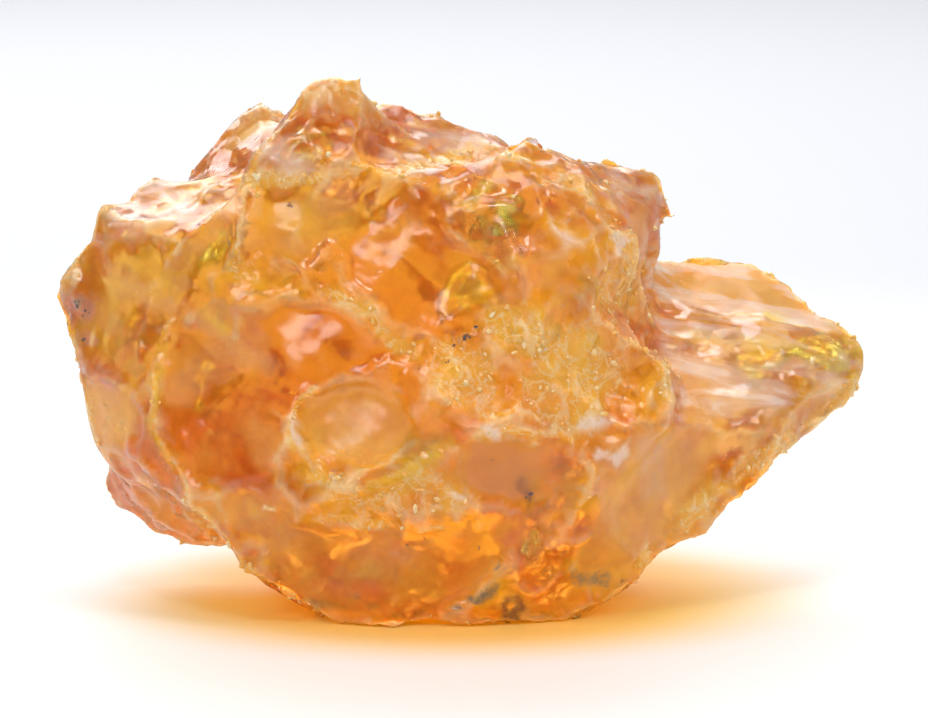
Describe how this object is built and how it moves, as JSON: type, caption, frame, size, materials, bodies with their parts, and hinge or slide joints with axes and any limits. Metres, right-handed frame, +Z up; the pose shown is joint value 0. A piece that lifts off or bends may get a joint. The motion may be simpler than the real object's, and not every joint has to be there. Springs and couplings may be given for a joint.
{
  "type": "raw amber piece",
  "caption": "Rough unpolished amber nugget with conchoidal breaks, a peaked top and a thin wing at one end, resting on a flat break.",
  "frame": {"origin": "middle of the footprint, on the flat break that the nugget rests on", "axes": "+X along the nugget towards its thin wing, +Z up, -Y out of its front"},
  "size_m": [0.048, 0.0244, 0.0315],
  "materials": {
    "amber": "broken resin, clear honey orange inside, pale and crumbly along the rims"
  },
  "bodies": {
    "root": {"amber_nugget": "amber"}
  },
  "joints": []
}
